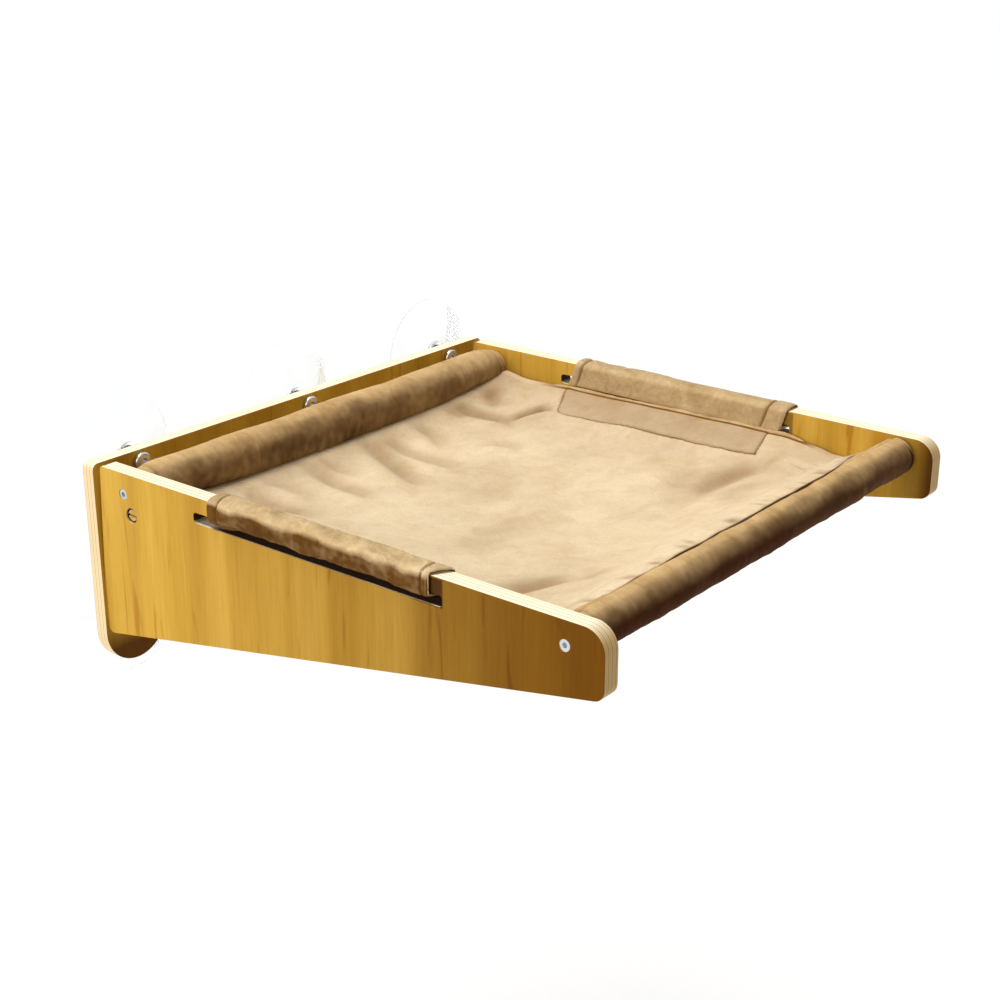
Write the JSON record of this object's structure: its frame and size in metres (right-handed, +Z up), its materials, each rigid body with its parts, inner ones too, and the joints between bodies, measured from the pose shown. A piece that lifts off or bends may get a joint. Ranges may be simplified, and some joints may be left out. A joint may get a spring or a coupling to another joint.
{
  "type": "window mounted cat perch",
  "caption": "Cat perch for a window: plywood board with clear suction cups, tapered side panels, and a plush bed slung between cloth-covered bars.",
  "frame": {"origin": "centre of the middle upper suction cup's rim, on the glass", "axes": "+Z up, +Y square to the glass and towards it, X along the board"},
  "size_m": [0.408, 0.434, 0.205],
  "materials": {
    "plywood": "satin varnish",
    "bar_wood": "bare",
    "plush": "short plush",
    "tape": "hook and loop",
    "chrome": "polished",
    "zinc_steel": "zinc",
    "clear_pvc": "clear and soft"
  },
  "bodies": {
    "perch": {"back_bar": "bar_wood", "back_bar_screw_left": "zinc_steel", "back_bar_screw_right": "zinc_steel", "back_sleeve": "plush", "barrel_nut_left": "zinc_steel", "barrel_nut_right": "zinc_steel", "bed_sheet": "plush", "cup_stud_lower_left": "zinc_steel", "cup_stud_lower_right": "zinc_steel", "cup_stud_upper_left": "zinc_steel", "cup_stud_upper_middle": "zinc_steel", "cup_stud_upper_right": "zinc_steel", "front_bar": "bar_wood", "front_bar_screw_left": "zinc_steel", "front_bar_screw_right": "zinc_steel", "front_sleeve": "plush", "hook_tape_left": "tape", "hook_tape_right": "tape", "locating_pin_left": "bar_wood", "locating_pin_right": "bar_wood", "loop_tape_left": "tape", "loop_tape_right": "tape", "panel_bolt_left": "zinc_steel", "panel_bolt_right": "zinc_steel", "side_loop_left": "plush", "side_loop_right": "plush", "side_panel_left": "plywood", "side_panel_right": "plywood", "suction_cup_lower_left": "clear_pvc", "suction_cup_lower_right": "clear_pvc", "suction_cup_upper_left": "clear_pvc", "suction_cup_upper_middle": "clear_pvc", "suction_cup_upper_right": "clear_pvc", "window_board": "plywood"},
    "washer_upper_left": {"nut_washer_upper_left": "zinc_steel"},
    "nut_upper_left": {"sleeve_nut_upper_left": "chrome"},
    "washer_upper_middle": {"nut_washer_upper_middle": "zinc_steel"},
    "nut_upper_middle": {"sleeve_nut_upper_middle": "chrome"},
    "washer_upper_right": {"nut_washer_upper_right": "zinc_steel"},
    "nut_upper_right": {"sleeve_nut_upper_right": "chrome"},
    "washer_lower_left": {"nut_washer_lower_left": "zinc_steel"},
    "nut_lower_left": {"sleeve_nut_lower_left": "chrome"},
    "washer_lower_right": {"nut_washer_lower_right": "zinc_steel"},
    "nut_lower_right": {"sleeve_nut_lower_right": "chrome"}
  },
  "joints": [
    {"name": "nut_travel_upper_left", "type": "slide", "parent": "perch", "child": "washer_upper_left", "axis": [0, -1, 0], "range_m": [0, 0.003]},
    {"name": "nut_turn_upper_left", "type": "hinge", "parent": "washer_upper_left", "child": "nut_upper_left", "pos_m": [-0.16, -0.026, 0], "axis": [0, -1, 0], "range_deg": [0, 1080]},
    {"name": "nut_travel_upper_middle", "type": "slide", "parent": "perch", "child": "washer_upper_middle", "axis": [0, -1, 0], "range_m": [0, 0.003]},
    {"name": "nut_turn_upper_middle", "type": "hinge", "parent": "washer_upper_middle", "child": "nut_upper_middle", "pos_m": [0, -0.026, 0], "axis": [0, -1, 0], "range_deg": [0, 1080]},
    {"name": "nut_travel_upper_right", "type": "slide", "parent": "perch", "child": "washer_upper_right", "axis": [0, -1, 0], "range_m": [0, 0.003]},
    {"name": "nut_turn_upper_right", "type": "hinge", "parent": "washer_upper_right", "child": "nut_upper_right", "pos_m": [0.16, -0.026, 0], "axis": [0, -1, 0], "range_deg": [0, 1080]},
    {"name": "nut_travel_lower_left", "type": "slide", "parent": "perch", "child": "washer_lower_left", "axis": [0, -1, 0], "range_m": [0, 0.003]},
    {"name": "nut_turn_lower_left", "type": "hinge", "parent": "washer_lower_left", "child": "nut_lower_left", "pos_m": [-0.16, -0.026, -0.117], "axis": [0, -1, 0], "range_deg": [0, 1080]},
    {"name": "nut_travel_lower_right", "type": "slide", "parent": "perch", "child": "washer_lower_right", "axis": [0, -1, 0], "range_m": [0, 0.003]},
    {"name": "nut_turn_lower_right", "type": "hinge", "parent": "washer_lower_right", "child": "nut_lower_right", "pos_m": [0.16, -0.026, -0.117], "axis": [0, -1, 0], "range_deg": [0, 1080]}
  ],
  "couplings": [
    {"joint": "nut_travel_upper_left", "follows": "nut_turn_upper_left", "m_per_rad": 0.00015915},
    {"joint": "nut_travel_upper_middle", "follows": "nut_turn_upper_middle", "m_per_rad": 0.00015915},
    {"joint": "nut_travel_upper_right", "follows": "nut_turn_upper_right", "m_per_rad": 0.00015915},
    {"joint": "nut_travel_lower_left", "follows": "nut_turn_lower_left", "m_per_rad": 0.00015915},
    {"joint": "nut_travel_lower_right", "follows": "nut_turn_lower_right", "m_per_rad": 0.00015915}
  ]
}
